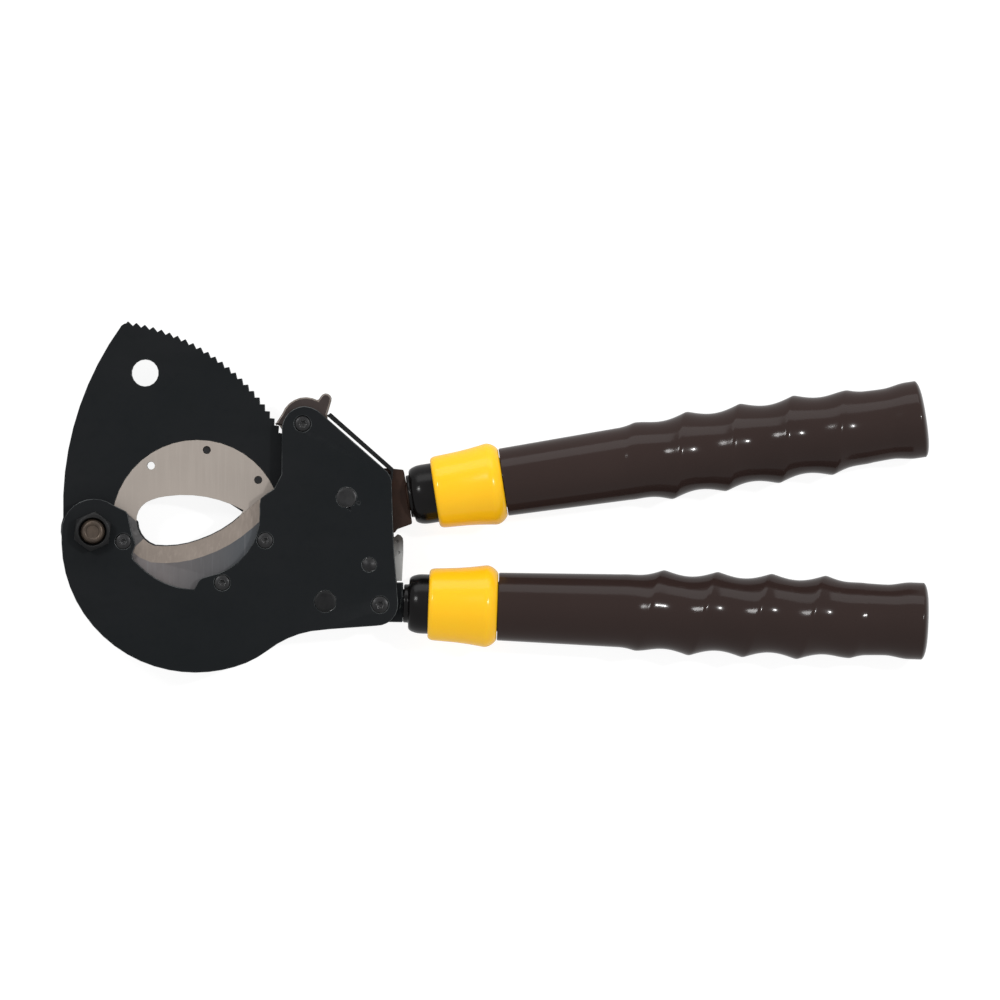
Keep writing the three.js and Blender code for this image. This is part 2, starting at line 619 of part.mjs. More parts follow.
function movingLever() {
  const outline = new Outline(113.55, 17.05)
    .arc([117.4, 26.3], [126.55, 30.05])
    .line([140, 31.8], [148.4, 31.6], [154.8, 30.9], [155.2, 29.6], [156.6, 22.8], [159.2, 4.6])
    .line([159, 3.7], [151.8, 1.1], [150.6, -0.6], [144.5, -1.2], [138, 3], [132, 1])
    .arc([125, -4], [118, 3])
    .line([115.2, 10.8])
    .arc([113.9, 13.9], [113.55, 17.05])
    .points
    .slice(0, -1);
  const blank = slab(outline, [LEVER_BACK, LEVER_FRONT]);
  const through = [LEVER_BACK - 1, LEVER_FRONT + 1];
  const slotRange = [-4.7, 1.5];
  const slot = new Outline(126, 9.8).line([106, 14], [106, -14], [133, -14], [133, -1]).points;
  const tools = [
    hole(HANDLE_PIVOT, HANDLE_PIN_RADIUS + RUNNING, through),
    hole(DRIVE_PAWL_PIVOT, PAWL_PIN_RADIUS + FIT, through),
    hole(LATCH_STUD, STUD_RADIUS + FIT, [0, LEVER_FRONT + 1]),
    slab(slot, slotRange),
    bar(DRIVE_PAWL_PIVOT, 7.4, slotRange),
  ];
  const lever = cut(blank, ...tools).add(spigot(MOVING_HANDLE));
  piece('moving_handle_lever', lever, 'brown_steel');
  piece('latch_stud', bar(LATCH_STUD, STUD_RADIUS, [0.1, FRONT_LAYER[1] - 0.1]), 'fastener_steel');
}

/** The pawl on the lever that pushes the blade's teeth. */
function drivePawl() {
  const outline = new Outline(129, -1.5)
    .line([111.6, -23.6], [108.5, -24], [104.85, -22.3], [107.6, -17.6])
    .line([120.4, 6.8])
    .arc([127.3, 8.5], [129, -1.5])
    .points
    .slice(0, -1);
  const body = slab(outline, [-4.4, 1.2]);
  const bore = hole(DRIVE_PAWL_PIVOT, PAWL_PIN_RADIUS + RUNNING, [-8, 8]);
  piece('drive_pawl', body.subtract(bore), 'grey_steel');
  piece('drive_pawl_pin', bar(DRIVE_PAWL_PIVOT, PAWL_PIN_RADIUS, [LEVER_BACK + 0.1, 6]), 'fastener_steel');
  const coil = ring(DRIVE_PAWL_PIVOT, 4.3, PAWL_PIN_RADIUS + 0.4, [LEVER_FRONT + 0.3, 5.8]);
  const leg = slab(new Outline(121.5, 3.5).line([121.4, 8.5], [120.2, 8.5], [120.6, 3]).points,
    [LEVER_FRONT + 0.3, 4.6]);
  const foot = slab(new Outline(121.6, 2.6).line([121.6, 3.6], [120.6, 3.6], [120.6, 2.6]).points,
    [LEVER_FRONT + 0.3, 4.6]);
  piece('drive_pawl_spring', coil.add(leg).add(foot), 'fastener_steel');
}

/** The plastic neck: a narrow nose, a rounded shoulder, and a sleeve that runs on inside the collar. */
function neck(nose, shoulder) {
  const bore = SPIGOT_RADIUS + 0.3;
  const front = [[bore, nose.start], [nose.radius, nose.start], [nose.radius, shoulder]];
  const rounding = [[12.4, shoulder], [13.2, shoulder + 0.5], [14.1, shoulder + 2], [14.7, shoulder + 4]];
  const sleeve = [[14.9, shoulder + 6], [14.9, 17.6], [10.2, 17.6], [10.2, 40], [bore, 40]];
  return turnedAlongHandle([...front, ...rounding, ...sleeve, front[0]]);
}

function tube() {
  const { start, end, outer, inner } = TUBE;
  return turnedAlongHandle([[inner, start], [outer, start], [outer, end], [inner, end], [inner, start]]);
}

function collar() {
  const { start, end } = COLLAR;
  const profile = [[15.3, start], [16.5, start], [17.5, start + 0.8], [18.1, start + 3.2], [18.4, 21],
    [18.75, 26], [19.35, 32], [20.1, 37.5], [20.5, 40.3], [20.4, 41.7], [19.8, 43.2], [18.6, 44.9],
    [17.3, 46], [16.6, end], [12.8, end], [12.8, 18.2], [15.3, 18.2], [15.3, start]];
  return turnedAlongHandle(profile);
}

/** The grip's radius in the grooves, at a distance along the handle. */
function gripFloor(along) {
  const { mapLinear, smoothstep } = THREE.MathUtils;
  if (along < THREAD.start) return mapLinear(along, GRIP.start, THREAD.start, 17, 18.3);
  return 18.3 - 0.55 * smoothstep(along, 222, 241) + 1.5 * smoothstep(along, 241, 253);
}

/** How far the ridge stands above the grooves, at a distance along the handle. */
function ridgeHeight(along) {
  const { start, end } = THREAD;
  const rise = THREE.MathUtils.smoothstep(along, start, start + 24);
  const fall = 1 - THREE.MathUtils.smoothstep(along, end - 22, end);
  return (CREST_RADIUS - 18.3) * Math.sqrt(rise * fall);
}

/** A point on the grip: the ridge is sharp, and the grooves between its turns are hollow. */
function gripPoint(along, angle) {
  const turns = (along - THREAD.top) / THREAD.pitch + angle / 360;
  const hollow = Math.abs(Math.sin(Math.PI * turns));
  const radius = gripFloor(along) + ridgeHeight(along) * (1 - hollow);
  return [along, ...polar(radius, angle)];
}

/** One ring of the grip. Each of its points slides along so that a point falls on the ridge. */
function gripRing(along) {
  const spacing = THREAD.pitch / STATIONS_PER_TURN;
  const onThread = along > THREAD.start && along < THREAD.end;
  const points = [];
  for (let side = 0; side < GRIP_SIDES; side += 1) {
    const angle = 360 * side / GRIP_SIDES;
    const behind = THREE.MathUtils.euclideanModulo(THREAD.pitch * angle / 360 + spacing / 2, spacing);
    const slide = onThread ? spacing / 2 - behind : 0;
    points.push(gripPoint(along + slide, angle));
  }
  return points;
}

function grip(end) {
  const spacing = THREAD.pitch / STATIONS_PER_TURN;
  const rings = [gripRing(GRIP.start), gripRing(76), gripRing(THREAD.start)];
  const first = Math.ceil((THREAD.start + 1 - THREAD.top) / spacing);
  const last = Math.floor((THREAD.end - 1 - THREAD.top) / spacing);
  for (let i = first; i <= last; i += 1) rings.push(gripRing(THREAD.top + i * spacing));
  for (const along of [237, 242, 246, 250, 254, end - 2.8]) rings.push(gripRing(along));
  for (const [inset, radius] of [[1.8, 18.2], [0.8, 15.8], [0, 10]]) {
    rings.push(rings[0].map((_, side) => [end - inset, ...polar(radius, 360 * side / GRIP_SIDES)]));
  }
  const index = [];
  for (let i = 0; i < rings.length - 1; i += 1) {
    for (let side = 0; side < GRIP_SIDES; side += 1) {
      const next = (side + 1) % GRIP_SIDES;
      const [a, b] = [i * GRIP_SIDES + side, i * GRIP_SIDES + next];
      index.push(a, b + GRIP_SIDES, a + GRIP_SIDES, a, b, b + GRIP_SIDES);
    }
  }
  const lastRing = (rings.length - 1) * GRIP_SIDES;
  for (let side = 1; side < GRIP_SIDES - 1; side += 1) {
    index.push(0, side + 1, side);
    index.push(lastRing, lastRing + side, lastRing + side + 1);
  }
  const geometry = new THREE.BufferGeometry();
  geometry.setAttribute('position', new THREE.Float32BufferAttribute(rings.flat(2), 3));
  geometry.setIndex(index);
  const bore = turnedAlongHandle([[0, 40], [GRIP.bore, 40], [GRIP.bore, GRIP.boreEnd], [0, GRIP.boreEnd]]);
  return solid(geometry).subtract(bore);
}

/** The sleeves of one handle, in a group along the handle's axis; its grip is turned about the axis. */
function handleSleeves(prefix, { origin, slope, nose, shoulder, gripEnd, gripTurn }) {
  const group = new THREE.Group();
  group.position.set(...origin, 0);
  group.rotation.z = degrees(slope);
  piece(`${prefix}_neck`, neck(nose, shoulder), 'black_plastic', group);
  piece(`${prefix}_tube`, tube(), 'fastener_steel', group);
  piece(`${prefix}_collar`, collar(), 'yellow_plastic', group);
  piece(`${prefix}_grip`, grip(gripEnd).rotate([gripTurn, 0, 0]), 'brown_plastic', group);
  tool.add(group);
}

framePlates();
fixedBlade();
movingBlade();
bladePivot();
releasePawl();
releaseSpring();
handleLatch();
frameFasteners();
fixedBar();
movingLever();
drivePawl();
handleSleeves('fixed', FIXED_HANDLE);
handleSleeves('moving', MOVING_HANDLE);

// The origin is at the middle of the base, on the surface that the tool lies on.
const box = new THREE.Box3().setFromObject(tool, true);
const middle = box.getCenter(new THREE.Vector3());
tool.position.set(-middle.x, -middle.y, -box.min.z);
tool.updateMatrixWorld(true);

export default tool;
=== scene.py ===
"""The looks of a two-handed ratchet cutter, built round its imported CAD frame.

Lengths in the constants are millimetres in the drawing frame: its origin is the blade pivot, halfway
between the frame plates, with +X towards the handles, +Y towards the moving handle and +Z up out of
the front plate. at() turns them into metres in the row frame.
"""

import json
import math

import bmesh
import bpy
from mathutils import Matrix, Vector


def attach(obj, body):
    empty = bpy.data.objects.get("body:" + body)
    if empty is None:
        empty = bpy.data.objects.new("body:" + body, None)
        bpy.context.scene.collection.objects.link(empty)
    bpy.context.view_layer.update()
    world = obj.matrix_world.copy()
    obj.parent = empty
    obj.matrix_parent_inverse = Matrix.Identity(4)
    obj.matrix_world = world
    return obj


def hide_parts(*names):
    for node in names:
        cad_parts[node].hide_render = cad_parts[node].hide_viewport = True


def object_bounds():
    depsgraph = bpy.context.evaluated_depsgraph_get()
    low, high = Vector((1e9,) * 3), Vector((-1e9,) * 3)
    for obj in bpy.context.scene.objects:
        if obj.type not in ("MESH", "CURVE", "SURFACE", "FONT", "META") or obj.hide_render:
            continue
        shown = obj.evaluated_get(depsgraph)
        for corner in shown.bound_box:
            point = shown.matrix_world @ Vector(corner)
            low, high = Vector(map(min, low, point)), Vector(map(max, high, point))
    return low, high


MM = 0.001
BLADE_PIVOT = (0, 0)
HANDLE_PIVOT = (126.55, 17.05)
RELEASE_PIVOT = (104.65, 53.9)
LATCH_PIVOT = (137.9, -16.55)
FRAME_RIVET = (115.95, -34.9)
FRAME_SCREW = (143.35, -36.5)
FIXED_BLADE_SCREWS = ((15.05, -4.9), (64.45, -25.55), (85.95, -4.45))
PLATE_OUTER = 11.5

# Detail of the meshes
SIDES = 96
ANGLES = [2 * math.pi * i / SIDES for i in range(SIDES)]
CREASE_ANGLE = 32
FLAT_ANGLE = 0.6
WELD_DISTANCE = 2e-6

# Handles, measured along each handle's axis from the end of the head
HANDLES = {
    "fixed": {
        "origin": (155.55, -35.97), "slope": -1.98, "nose_start": -0.6, "nose_radius": 9.6, "shoulder": 2,
        "grip_end": 262.1, "grip_turn": 0,
    },
    "moving": {
        "origin": (158.8, 17.66), "slope": 8.62, "nose_start": -1.3, "nose_radius": 10.6, "shoulder": 0.4,
        "grip_end": 260.5, "grip_turn": 180,
    },
}
NECK_BORE = 7.3
COLLAR_BORE = 12.8
GRIP_START = 46.7
GRIP_START_RADIUS = 17
GRIP_BORE = 12.8
GRIP_BORE_END = 255.5
RIDGE_PITCH = 27
RIDGE_START = 108
RIDGE_RISE = 24
RIDGE_TOP = 129.2
RIDGE_FALL = 22
RIDGE_END = 231
RINGS_PER_PITCH = 36
CREST_RADIUS = 21.2
GROOVE_RADIUS = 18.3
WAIST_START = 222
WAIST = 241
FLARE_END = 253

# The view: the camera looks straight down on the tool, and the width is measured at the plane's height
VIEW_CENTRE = (203.25, 15.75)
VIEW_WIDTH = 500
VIEW_PLANE = 6
CAMERA_DISTANCE = 5000
SENSOR_WIDTH = 36

# Lights: their offset from the middle of the view and their size in metres, and their power in watts
LIGHTS = {
    "soft_top": {"offset": (0, 1.9, 0.8), "size": (2.6, 1.1), "power": 16},
    "soft_left": {"offset": (-1.0, 0.7, 1.75), "size": (0.3, 0.3), "power": 9},
    "key_spot": {"offset": (1.0, 0.36, 1.75), "size": (0.08, 0.08), "power": 12},
}
SKY_STRENGTH = 0.6
FLOOR_GLOW = 0.88
FLOOR_SIZE = 6

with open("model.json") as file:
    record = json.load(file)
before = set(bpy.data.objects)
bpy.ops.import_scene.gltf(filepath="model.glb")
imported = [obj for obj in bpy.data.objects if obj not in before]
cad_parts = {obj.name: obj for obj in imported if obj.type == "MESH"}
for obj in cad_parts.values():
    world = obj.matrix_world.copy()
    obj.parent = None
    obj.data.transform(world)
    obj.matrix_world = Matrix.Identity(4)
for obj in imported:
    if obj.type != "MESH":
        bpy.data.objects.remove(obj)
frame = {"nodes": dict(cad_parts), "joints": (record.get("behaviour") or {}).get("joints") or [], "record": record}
cad_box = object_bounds()
joints = {joint["name"]: joint for joint in frame["joints"]}
slots = {part["node"]: part["material_slot"] for part in frame["record"]["subparts"]}
pivot = Vector(joints["blade_pivot"]["pos_m"])


def at(x, y, z=0):
    """A point of the drawing frame in the row frame, in metres."""
    return pivot + Vector((x, y, z)) * MM


# --- Materials -----------------------------------------------------------------------------------


class Recipe:
    """A procedural material: a principled shader whose colour, roughness and bump come from nodes."""

    def __init__(self, name, colour, roughness, metallic=0.0, **inputs):
        self.material = bpy.data.materials.new(name)
        self.material.use_nodes = True
        self.tree = self.material.node_tree
        self.shader = self.tree.nodes["Principled BSDF"]
        self.shader.inputs["Base Color"].default_value = (*colour, 1)
        self.shader.inputs["Roughness"].default_value = roughness
        self.shader.inputs["Metallic"].default_value = metallic
        for key, value in inputs.items():
            self.shader.inputs[key.replace("_", " ")].default_value = value
        self.coordinates = self.node("ShaderNodeTexCoord").outputs["Object"]
        self.split = self.node("ShaderNodeSeparateXYZ")
        self.link(self.coordinates, self.split.inputs["Vector"])
        self.height = None

    def node(self, kind, **inputs):
        node = self.tree.nodes.new(kind)
        for key, value in inputs.items():
            node.inputs[key].default_value = value
        return node

    def link(self, output, target):
        self.tree.links.new(output, target)

    def noise(self, scale, stretch=(1, 1, 1), detail=6, turn=0):
        """Noise in object space, with its scale in features per metre, stretched along the axes."""
        mapping = self.node("ShaderNodeMapping")
        mapping.inputs["Scale"].default_value = stretch
        mapping.inputs["Rotation"].default_value = (0, 0, math.radians(turn))
        self.link(self.coordinates, mapping.inputs["Vector"])
        noise = self.node("ShaderNodeTexNoise", Scale=scale, Detail=detail)
        self.link(mapping.outputs["Vector"], noise.inputs["Vector"])
        return noise.outputs["Fac"]

    def coordinate(self, axis):
        """The coordinate along one axis of the row frame, in metres."""
        return self.split.outputs[axis]

    def remap(self, value, low, high, start=0.3, end=0.7):
        """A value from start to end mapped to the range from low to high."""
        node = self.node("ShaderNodeMapRange")
        for key, number in (("From Min", start), ("From Max", end), ("To Min", low), ("To Max", high)):
            node.inputs[key].default_value = number
        self.link(value, node.inputs["Value"])
        return node.outputs["Result"]

    def roughen(self, value, low, high):
        self.link(self.remap(value, low, high), self.shader.inputs["Roughness"])
        return self

    def tint(self, value, colour, start=0.35, end=0.75):
        """Mixes the base colour towards another one where the value is high."""
        mix = self.node("ShaderNodeMix")
        mix.data_type = "RGBA"
        base = self.shader.inputs["Base Color"]
        if base.is_linked:
            self.link(base.links[0].from_socket, mix.inputs["A"])
        else:
            mix.inputs["A"].default_value = base.default_value
        mix.inputs["B"].default_value = (*colour, 1)
        self.link(self.remap(value, 0, 1, start, end), mix.inputs["Factor"])
        self.link(mix.outputs["Result"], base)
        return self

    def bump(self, value, depth):
        """Adds relief of a depth in millimetres."""
        node = self.node("ShaderNodeBump", Distance=depth * MM)
        self.link(value, node.inputs["Height"])
        if self.height is not None:
            self.link(self.height, node.inputs["Normal"])
        self.height = node.outputs["Normal"]
        self.link(self.height, self.shader.inputs["Normal"])
        return self

    def worn_and_highlit_edges(self, colour, width, amount):
        """Bare metal and a painted highlight in a band along the edges, broken up by noise. The width is in
        millimetres.
        """
        bevel = self.node("ShaderNodeBevel", Radius=width * MM)
        bevel.samples = 6
        geometry = self.node("ShaderNodeNewGeometry")
        dot = self.node("ShaderNodeVectorMath")
        dot.operation = "DOT_PRODUCT"
        self.link(bevel.outputs["Normal"], dot.inputs[0])
        self.link(geometry.outputs["Normal"], dot.inputs[1])
        edge = self.remap(dot.outputs["Value"], 1, 0, 0.80, 0.995)
        patch = self.remap(self.noise(260), 0.25, 1)
        wear_and_highlight = self.node("ShaderNodeMath")
        wear_and_highlight.operation = "MULTIPLY"
        self.link(edge, wear_and_highlight.inputs[0])
        self.link(patch, wear_and_highlight.inputs[1])
        return self.tint(wear_and_highlight.outputs["Value"], colour, 0, 1 / amount)


def plate_material():
    """The blackened frame plates: a faint mottling and a fine grain."""
    recipe = Recipe("blackened_plate", (0.0043, 0.0059, 0.0070), 0.5, Specular_IOR_Level=0.12)
    recipe.tint(recipe.noise(18, detail=8), (0.0080, 0.0088, 0.0100))
    recipe.tint(recipe.noise(70, (0.3, 1, 1), turn=20), (0.0040, 0.0052, 0.0062), 0.5, 0.9)
    recipe.roughen(recipe.noise(240), 0.45, 0.65)
    recipe.bump(recipe.noise(1500, detail=3), 0.012)
    return recipe.bump(recipe.noise(90), 0.02).material


def plate_edge_highlight_material():
    """A lighter steel in patches along a plate's edges: a painted highlight on its edge bevels."""
    recipe = Recipe("plate_edge_highlight", (0.085, 0.090, 0.092), 0.36, 0.6, Specular_IOR_Level=0.3)
    recipe.tint(recipe.noise(120, detail=8), (0.018, 0.020, 0.022), 0.4, 0.62)
    return recipe.roughen(recipe.noise(300), 0.3, 0.5).material


def pale_steel_material():
    """The moving blade's ground insert, with faint grinding marks along it."""
    recipe = Recipe("pale_ground_steel", (0.37, 0.325, 0.288), 0.45, 0.5)
    recipe.tint(recipe.noise(30, detail=8), (0.334, 0.294, 0.262))
    recipe.tint(recipe.noise(900, (1, 0.03, 1)), (0.392, 0.347, 0.309), 0.5, 0.9)
    recipe.roughen(recipe.noise(1200, (1, 0.04, 1)), 0.4, 0.5)
    return recipe.bump(recipe.noise(2500, detail=3), 0.004).material


def bevel_steel_painted_lit_material():
    """The fixed blade's ground bevel: brown-grey, with grinding marks square to the edge, and painted lighter than
    the flat face as the lit side of the bevel.
    """
    recipe = Recipe("bevel_steel_painted_lit", (0.22, 0.185, 0.158), 0.5, 0.3, Specular_IOR_Level=0.3)
    recipe.tint(recipe.noise(60, detail=8), (0.188, 0.157, 0.134))
    recipe.tint(recipe.noise(800, (1, 0.05, 1), turn=-25), (0.26, 0.22, 0.19), 0.5, 0.9)
    recipe.roughen(recipe.noise(900, (1, 0.05, 1), turn=-25), 0.42, 0.56)
    return recipe.bump(recipe.noise(2000, (1, 0.05, 1), turn=-25), 0.005).material


def grey_blade_material():
    """The fixed blade's flat face: lighter and warmer next to the pivot, bluish at the far end."""
    recipe = Recipe("grey_ground_steel", (0.135, 0.122, 0.122), 0.45, 0.45)
    recipe.tint(recipe.coordinate("X"), (0.076, 0.082, 0.090), at(35, 0).x, at(75, 0).x)
    recipe.tint(recipe.noise(45, detail=8), (0.085, 0.083, 0.086), 0.45, 1.0)
    recipe.tint(recipe.noise(700, (1, 0.04, 1)), (0.17, 0.17, 0.18), 0.55, 1.0)
    recipe.roughen(recipe.noise(900, (1, 0.04, 1)), 0.34, 0.5)
    return recipe.bump(recipe.noise(2000, (1, 0.03, 1)), 0.006).material


def shaded_steel_material():
    """A painted shade on the fixed blade's bevel: its darker end, next to the pivot."""
    recipe = Recipe("shaded_steel", (0.052, 0.050, 0.051), 0.5, 0.3, Specular_IOR_Level=0.3)
    recipe.tint(recipe.noise(90, detail=8), (0.075, 0.072, 0.072))
    return recipe.roughen(recipe.noise(400), 0.42, 0.58).material


def tempered_material():
    """Steel that tempering has turned brown."""
    recipe = Recipe("brown_steel", (0.034, 0.0135, 0.0072), 0.5, 0.1, Specular_IOR_Level=0.2)
    recipe.tint(recipe.noise(60, detail=8), (0.013, 0.0078, 0.0058))
    recipe.tint(recipe.noise(220), (0.04, 0.02, 0.011), 0.55, 0.85)
    recipe.roughen(recipe.noise(300), 0.4, 0.6)
    return recipe.bump(recipe.noise(1800, (1, 0.2, 1)), 0.008).material


def pawl_material():
    """The release pawl's flat face: brown steel with a metallic sheen."""
    recipe = Recipe("pawl_steel", (0.054, 0.039, 0.0355), 0.45, 0.3, Specular_IOR_Level=0.3)
    recipe.tint(recipe.noise(60, detail=8), (0.032, 0.0245, 0.0225))
    recipe.roughen(recipe.noise(300), 0.36, 0.52)
    return recipe.bump(recipe.noise(1800, (1, 0.2, 1)), 0.008).material


def pawl_edge_highlight_material():
    """The release pawl's brighter chamfer: a painted highlight along its edges."""
    recipe = Recipe("pawl_edge_highlight", (0.2, 0.172, 0.152), 0.36, 0.6)
    recipe.tint(recipe.noise(160, detail=8), (0.12, 0.095, 0.082), 0.42, 0.7)
    return recipe.roughen(recipe.noise(400), 0.28, 0.5).material


def latch_material():
    """The catch: blackened round its upper end, bare and bright lower down."""
    recipe = Recipe("grey_steel", (0.36, 0.36, 0.35), 0.4, 0.6)
    recipe.tint(recipe.coordinate("Y"), (0.060, 0.053, 0.048), at(0, -13).y, at(0, -4).y)
    recipe.tint(recipe.noise(400, (1, 0.3, 1)), (0.09, 0.086, 0.082), 0.55, 0.95)
    recipe.roughen(recipe.noise(500), 0.32, 0.5)
    return recipe.bump(recipe.noise(1800, detail=3), 0.006).material


def machined_material(name, colour, second_tone, roughness, wear_and_highlight):
    """Machined steel: patches of a second tone, and brighter edges of worn bare metal with a painted highlight."""
    recipe = Recipe(name, colour, roughness, 0.6)
    recipe.tint(recipe.noise(150, detail=8), second_tone)
    recipe.roughen(recipe.noise(500), roughness - 0.08, roughness + 0.12)
    recipe.bump(recipe.noise(2400, detail=3), 0.006)
    return recipe.worn_and_highlit_edges(wear_and_highlight, 0.3, 0.8).material


def grip_material():
    """The grips' glossy brown plastic."""
    recipe = Recipe("brown_grip", (0.031, 0.0190, 0.0168), 0.13, Specular_IOR_Level=0.17)
    recipe.tint(recipe.noise(12, detail=4), (0.027, 0.0165, 0.0146))
    recipe.roughen(recipe.noise(60), 0.11, 0.17)
    recipe.bump(recipe.noise(160, detail=2), 0.012)
    return recipe.bump(recipe.noise(1400, detail=2), 0.002).material


def collar_material():
    recipe = Recipe(
        "yellow_plastic", (1.0, 0.535, 0.008), 0.2, Specular_IOR_Level=0.3,
        Subsurface_Weight=0.05, Subsurface_Scale=0.002)
    recipe.tint(recipe.noise(20, detail=4), (1.0, 0.56, 0.014))
    recipe.roughen(recipe.noise(80), 0.16, 0.24)
    return recipe.bump(recipe.noise(260, detail=2), 0.01).material


def neck_material():
    """The necks' glossy black plastic."""
    recipe = Recipe("black_neck", (0.0030, 0.0027, 0.0028), 0.22, Specular_IOR_Level=0.2)
    recipe.tint(recipe.noise(80), (0.0052, 0.0046, 0.0048))
    recipe.roughen(recipe.noise(120), 0.16, 0.28)
    return recipe.bump(recipe.noise(500, detail=3), 0.008).material


def bronze_material():
    recipe = Recipe("bronze", (0.42, 0.25, 0.10), 0.4, 0.9)
    recipe.tint(recipe.noise(200), (0.28, 0.16, 0.07))
    recipe.roughen(recipe.noise(600), 0.3, 0.5)
    return recipe.bump(recipe.noise(2000), 0.005).material


MATERIALS = {
    "blackened_plate": plate_material(),
    "plate_edge_highlight": plate_edge_highlight_material(),
    "grey_ground_steel": grey_blade_material(),
    "pale_ground_steel": pale_steel_material(),
    "bevel_steel_painted_lit": bevel_steel_painted_lit_material(),
    "shaded_steel": shaded_steel_material(),
    "brown_steel": tempered_material(),
    "pawl_steel": pawl_material(),
    "pawl_edge_highlight": pawl_edge_highlight_material(),
    # The last colour of each machined steel is its brighter edge: worn bare metal with a painted highlight
    "bolt_steel": machined_material(
        "bolt_steel", (0.086, 0.064, 0.048), (0.045, 0.034, 0.027), 0.34, (0.34, 0.28, 0.24)),
    "blackened_steel": machined_material(
        "blackened_steel", (0.0045, 0.0050, 0.0056), (0.009, 0.009, 0.0096), 0.4, (0.2, 0.2, 0.2)),
    "grey_steel": latch_material(),
    "fastener_steel": machined_material(
        "fastener_steel", (0.016, 0.016, 0.017), (0.030, 0.030, 0.031), 0.36, (0.45, 0.45, 0.45)),
    "bronze": bronze_material(),
    "yellow_plastic": collar_material(),
    "brown_grip": grip_material(),
    "black_neck": neck_material(),
}


# --- Mesh work -----------------------------------------------------------------------------------


def body_of(node):
    for body, nodes in frame["record"]["behaviour"]["bodies"].items():
        if node in nodes:
            return body
    raise KeyError(node)


def stand_for(piece, node):
    """The piece takes the place and body of a CAD node, and the material of its slot."""
    piece.data.materials.append(MATERIALS[slots[node]])
    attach(piece, body_of(node))
    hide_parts(node)
    return piece


def smooth(piece):
    """Shades curved faces smooth and keeps their creases sharp."""
    mesh = piece.data
    mesh.polygons.foreach_set("use_smooth", [True] * len(mesh.polygons))
    mesh.set_sharp_from_angle(angle=math.radians(CREASE_ANGLE))


def refine(node, bevel, segments=2, edge=None):
    """A finer copy of a CAD node, with its flat faces joined up and its edges broken by a small bevel.

    The bevel's width is in millimetres, and the bevel may have a material of its own.
    """
    mesh = frame["nodes"][node].data.copy()
    piece = bpy.data.objects.new("fine_" + node, mesh)
    bpy.context.scene.collection.objects.link(piece)
    mesh.materials.clear()
    work = bmesh.new()
    work.from_mesh(mesh)
    bmesh.ops.remove_doubles(work, verts=work.verts, dist=WELD_DISTANCE)
    bmesh.ops.dissolve_limit(
        work, angle_limit=math.radians(FLAT_ANGLE),
        verts=work.verts, edges=work.edges, delimit={"NORMAL"})
    work.to_mesh(mesh)
    work.free()
    smooth(piece)
    stand_for(piece, node)
    modifier = piece.modifiers.new("bevel", "BEVEL")
    modifier.width = bevel * MM
    modifier.segments = segments
    modifier.limit_method = "ANGLE"
    modifier.angle_limit = math.radians(CREASE_ANGLE)
    modifier.use_clamp_overlap = False
    modifier.harden_normals = True
    if edge:
        mesh.materials.append(MATERIALS[edge])
        modifier.material = 1
    return piece


def skin(name, rings, closed=True):
    """A mesh through rings of points. Its two ends are joined to each other when closed, else capped."""
    work = bmesh.new()
    loops = [[work.verts.new(point) for point in ring] for ring in rings]
    pairs = list(zip(loops, loops[1:]))
    if closed:
        pairs.append((loops[-1], loops[0]))
    for near, far in pairs:
        for i in range(len(near)):
            j = (i + 1) % len(near)
            work.faces.new((near[i], near[j], far[j], far[i]))
    if not closed:
        work.faces.new(loops[0][::-1])
        work.faces.new(loops[-1])
    bmesh.ops.recalc_face_normals(work, faces=work.faces)
    mesh = bpy.data.meshes.new(name)
    work.to_mesh(mesh)
    work.free()
    piece = bpy.data.objects.new(name, mesh)
    bpy.context.scene.collection.objects.link(piece)
    smooth(piece)
    return piece


def rounded(profile, radius, steps=4):
    """A profile of (radius, distance) whose corners between its two ends are rounded off."""
    points = [Vector(point) for point in profile]
    result = [points[0]]
    for before, corner, after in zip(points, points[1:], points[2:]):
        reach = min(radius, (before - corner).length / 2.01, (after - corner).length / 2.01)
        start = corner + (before - corner).normalized() * reach
        end = corner + (after - corner).normalized() * reach
        for step in range(steps + 1):
            t = step / steps
            result.append(start * (1 - t) ** 2 + corner * 2 * t * (1 - t) + end * t ** 2)
    return [*result, points[-1]]


def upright(x, y):
    """Puts (radius, angle, height) round an upright axis into the row frame."""
    def point(radius, angle, height):
        return at(x + radius * math.cos(angle), y + radius * math.sin(angle), height)
    return point


def circles(place, profile):
    """One round ring of points for each (radius, distance) of a profile."""
    return [[place(radius, angle, along) for angle in ANGLES] for radius, along in profile]


def turned(name, profile, place, closed=False):
    """A turned piece from a profile of (radius, distance along its axis)."""
    return skin(name, circles(place, profile), closed)


# --- Fasteners -----------------------------------------------------------------------------------

# A hexagon's corners are chamfered from a circle on its end face that lies this far inside the flats
CHAMFER_INSET = 0.4
CHAMFER_ANGLE = 30
CHAMFER_STEPS = 6
PIVOT_FLATS = 17.4
RECESS_DEPTH = 1.9


def hexagon_radius(angle, flats, turn):
    """The distance to a hexagon's side in a direction."""
    from_flat = (math.degrees(angle) - turn + 30) % 60 - 30
    return flats / 2 / math.cos(math.radians(from_flat))


def hexagon_ring(place, flats, turn, height, limit):
    """A hexagon whose corners stop at the limiting radius."""
    return [place(min(hexagon_radius(angle, flats, turn), limit), angle, height) for angle in ANGLES]


def hexagon_rings(place, flats, turn, low, high):
    """The sides of a nut from low to high, with its corners chamfered by a cone."""
    face_radius = flats / 2 - CHAMFER_INSET
    slope = math.tan(math.radians(CHAMFER_ANGLE))
    depth = (flats / math.sqrt(3) - flats / 2 + CHAMFER_INSET) * slope
    insets = [depth * i / CHAMFER_STEPS for i in range(CHAMFER_STEPS + 1)]
    lower = [(low + inset, face_radius + inset / slope) for inset in insets]
    upper = [(high - inset, face_radius + inset / slope) for inset in insets]
    return [hexagon_ring(place, flats, turn, height, limit) for height, limit in lower + upper[::-1]]


